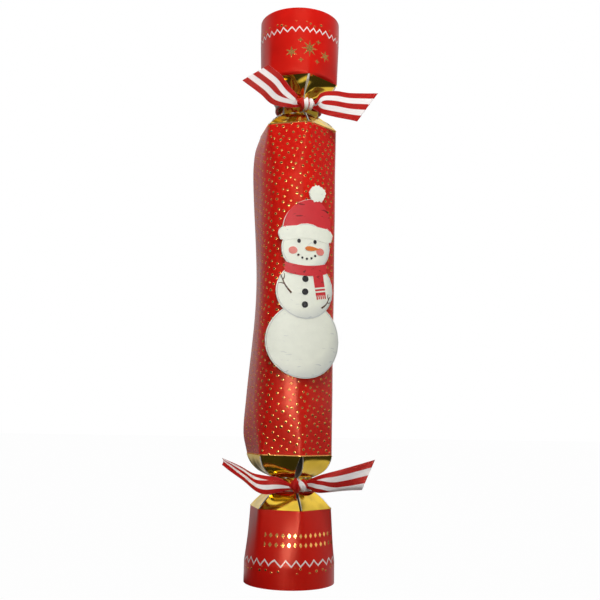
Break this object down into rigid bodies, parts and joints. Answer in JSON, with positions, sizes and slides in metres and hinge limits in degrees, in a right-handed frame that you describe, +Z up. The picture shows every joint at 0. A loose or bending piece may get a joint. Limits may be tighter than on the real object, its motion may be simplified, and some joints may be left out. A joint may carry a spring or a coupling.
{
  "type": "christmas cracker",
  "caption": "Six-sided folded card party cracker with flared open ends, foil necks tied with striped ribbon, a raised snowman on the front, and a snap and gift inside.",
  "frame": {"origin": "centre of the lower crown's open rim, in the plane that it stands on", "axes": "+Z up along the cracker's axis, -Y towards the front corner with the raised figure, +X to its right"},
  "size_m": [0.0858, 0.0609, 0.342],
  "materials": {
    "red_card": "satin laminate",
    "gold_card": "mirror foil",
    "ribbon": "satin",
    "figure_card": "satin",
    "foam": "matte",
    "snap_card": "matte",
    "snap_paper": "matte",
    "charge": "matte",
    "tissue": "matte",
    "bottle": "gloss",
    "gel": "gloss",
    "cap": "satin"
  },
  "bodies": {
    "barrel": {"barrel": "red_card", "glue_seam": "red_card", "snowman_figure": "figure_card", "figure_foam_pads": "foam", "lower_bottle": "bottle", "lower_gel": "gel", "upper_bottle": "bottle", "upper_gel": "gel", "paper_crown_roll": "tissue", "motto_slip": "snap_paper"},
    "lower_end": {"lower_crown": "red_card", "lower_pleat_1": "gold_card", "lower_pleat_2": "gold_card", "lower_pleat_3": "gold_card", "lower_pleat_4": "gold_card", "lower_pleat_5": "gold_card", "lower_pleat_6": "gold_card", "lower_ribbon_wrap": "ribbon", "lower_ribbon_knot": "ribbon", "lower_ribbon_tail_left": "ribbon", "lower_ribbon_tail_right": "ribbon", "snap_strip_lower": "snap_card", "snap_sleeve": "snap_paper", "snap_charge": "charge"},
    "lower_flap_1": {"lower_flap_1": "gold_card"},
    "lower_flap_2": {"lower_flap_2": "gold_card"},
    "lower_flap_3": {"lower_flap_3": "gold_card"},
    "lower_flap_4": {"lower_flap_4": "gold_card"},
    "lower_flap_5": {"lower_flap_5": "gold_card"},
    "lower_flap_6": {"lower_flap_6": "gold_card"},
    "lower_cap": {"lower_cap": "cap"},
    "upper_end": {"upper_crown": "red_card", "upper_pleat_1": "gold_card", "upper_pleat_2": "gold_card", "upper_pleat_3": "gold_card", "upper_pleat_4": "gold_card", "upper_pleat_5": "gold_card", "upper_pleat_6": "gold_card", "upper_ribbon_wrap": "ribbon", "upper_ribbon_knot": "ribbon", "upper_ribbon_tail_left": "ribbon", "upper_ribbon_tail_right": "ribbon", "snap_strip_upper": "snap_card"},
    "upper_flap_1": {"upper_flap_1": "gold_card"},
    "upper_flap_2": {"upper_flap_2": "gold_card"},
    "upper_flap_3": {"upper_flap_3": "gold_card"},
    "upper_flap_4": {"upper_flap_4": "gold_card"},
    "upper_flap_5": {"upper_flap_5": "gold_card"},
    "upper_flap_6": {"upper_flap_6": "gold_card"},
    "upper_cap": {"upper_cap": "cap"}
  },
  "joints": [
    {"name": "lower_pull", "type": "slide", "parent": "barrel", "child": "lower_end", "axis": [0, 0, -1], "range_m": [0, 0.15]},
    {"name": "lower_flap_1_fold", "type": "hinge", "parent": "barrel", "child": "lower_flap_1", "pos_m": [0.01082, -0.01875, 0.072], "axis": [-0.866, -0.5, 0], "range_deg": [0, 60]},
    {"name": "lower_flap_2_fold", "type": "hinge", "parent": "barrel", "child": "lower_flap_2", "pos_m": [0.02165, 0, 0.072], "axis": [0, -1, 0], "range_deg": [0, 60]},
    {"name": "lower_flap_3_fold", "type": "hinge", "parent": "barrel", "child": "lower_flap_3", "pos_m": [0.01082, 0.01875, 0.072], "axis": [0.866, -0.5, 0], "range_deg": [0, 60]},
    {"name": "lower_flap_4_fold", "type": "hinge", "parent": "barrel", "child": "lower_flap_4", "pos_m": [-0.01082, 0.01875, 0.072], "axis": [0.866, 0.5, 0], "range_deg": [0, 60]},
    {"name": "lower_flap_5_fold", "type": "hinge", "parent": "barrel", "child": "lower_flap_5", "pos_m": [-0.02165, 0, 0.072], "axis": [0, 1, 0], "range_deg": [0, 60]},
    {"name": "lower_flap_6_fold", "type": "hinge", "parent": "barrel", "child": "lower_flap_6", "pos_m": [-0.01082, -0.01875, 0.072], "axis": [-0.866, 0.5, 0], "range_deg": [0, 60]},
    {"name": "upper_pull", "type": "slide", "parent": "barrel", "child": "upper_end", "axis": [0, 0, 1], "range_m": [0, 0.15]},
    {"name": "upper_flap_1_fold", "type": "hinge", "parent": "barrel", "child": "upper_flap_1", "pos_m": [0.01082, -0.01875, 0.27], "axis": [0.866, 0.5, 0], "range_deg": [0, 60]},
    {"name": "upper_flap_2_fold", "type": "hinge", "parent": "barrel", "child": "upper_flap_2", "pos_m": [0.02165, 0, 0.27], "axis": [0, 1, 0], "range_deg": [0, 60]},
    {"name": "upper_flap_3_fold", "type": "hinge", "parent": "barrel", "child": "upper_flap_3", "pos_m": [0.01082, 0.01875, 0.27], "axis": [-0.866, 0.5, 0], "range_deg": [0, 60]},
    {"name": "upper_flap_4_fold", "type": "hinge", "parent": "barrel", "child": "upper_flap_4", "pos_m": [-0.01082, 0.01875, 0.27], "axis": [-0.866, -0.5, 0], "range_deg": [0, 60]},
    {"name": "upper_flap_5_fold", "type": "hinge", "parent": "barrel", "child": "upper_flap_5", "pos_m": [-0.02165, 0, 0.27], "axis": [0, -1, 0], "range_deg": [0, 60]},
    {"name": "upper_flap_6_fold", "type": "hinge", "parent": "barrel", "child": "upper_flap_6", "pos_m": [-0.01082, -0.01875, 0.27], "axis": [0.866, -0.5, 0], "range_deg": [0, 60]},
    {"name": "lower_cap_twist", "type": "hinge", "parent": "barrel", "child": "lower_cap", "pos_m": [-0.00337, -0.00585, 0.15], "axis": [0, 0, 1], "range_deg": [0, 540]},
    {"name": "upper_cap_twist", "type": "hinge", "parent": "barrel", "child": "upper_cap", "pos_m": [-0.00337, -0.00585, 0.24], "axis": [0, 0, 1], "range_deg": [0, 540]}
  ],
  "couplings": [
    {"joint": "lower_flap_1_fold", "follows": "lower_pull", "rad_per_m": 6.98},
    {"joint": "lower_flap_2_fold", "follows": "lower_pull", "rad_per_m": 6.98},
    {"joint": "lower_flap_3_fold", "follows": "lower_pull", "rad_per_m": 6.98},
    {"joint": "lower_flap_4_fold", "follows": "lower_pull", "rad_per_m": 6.98},
    {"joint": "lower_flap_5_fold", "follows": "lower_pull", "rad_per_m": 6.98},
    {"joint": "lower_flap_6_fold", "follows": "lower_pull", "rad_per_m": 6.98},
    {"joint": "upper_flap_1_fold", "follows": "upper_pull", "rad_per_m": 6.98},
    {"joint": "upper_flap_2_fold", "follows": "upper_pull", "rad_per_m": 6.98},
    {"joint": "upper_flap_3_fold", "follows": "upper_pull", "rad_per_m": 6.98},
    {"joint": "upper_flap_4_fold", "follows": "upper_pull", "rad_per_m": 6.98},
    {"joint": "upper_flap_5_fold", "follows": "upper_pull", "rad_per_m": 6.98},
    {"joint": "upper_flap_6_fold", "follows": "upper_pull", "rad_per_m": 6.98}
  ]
}
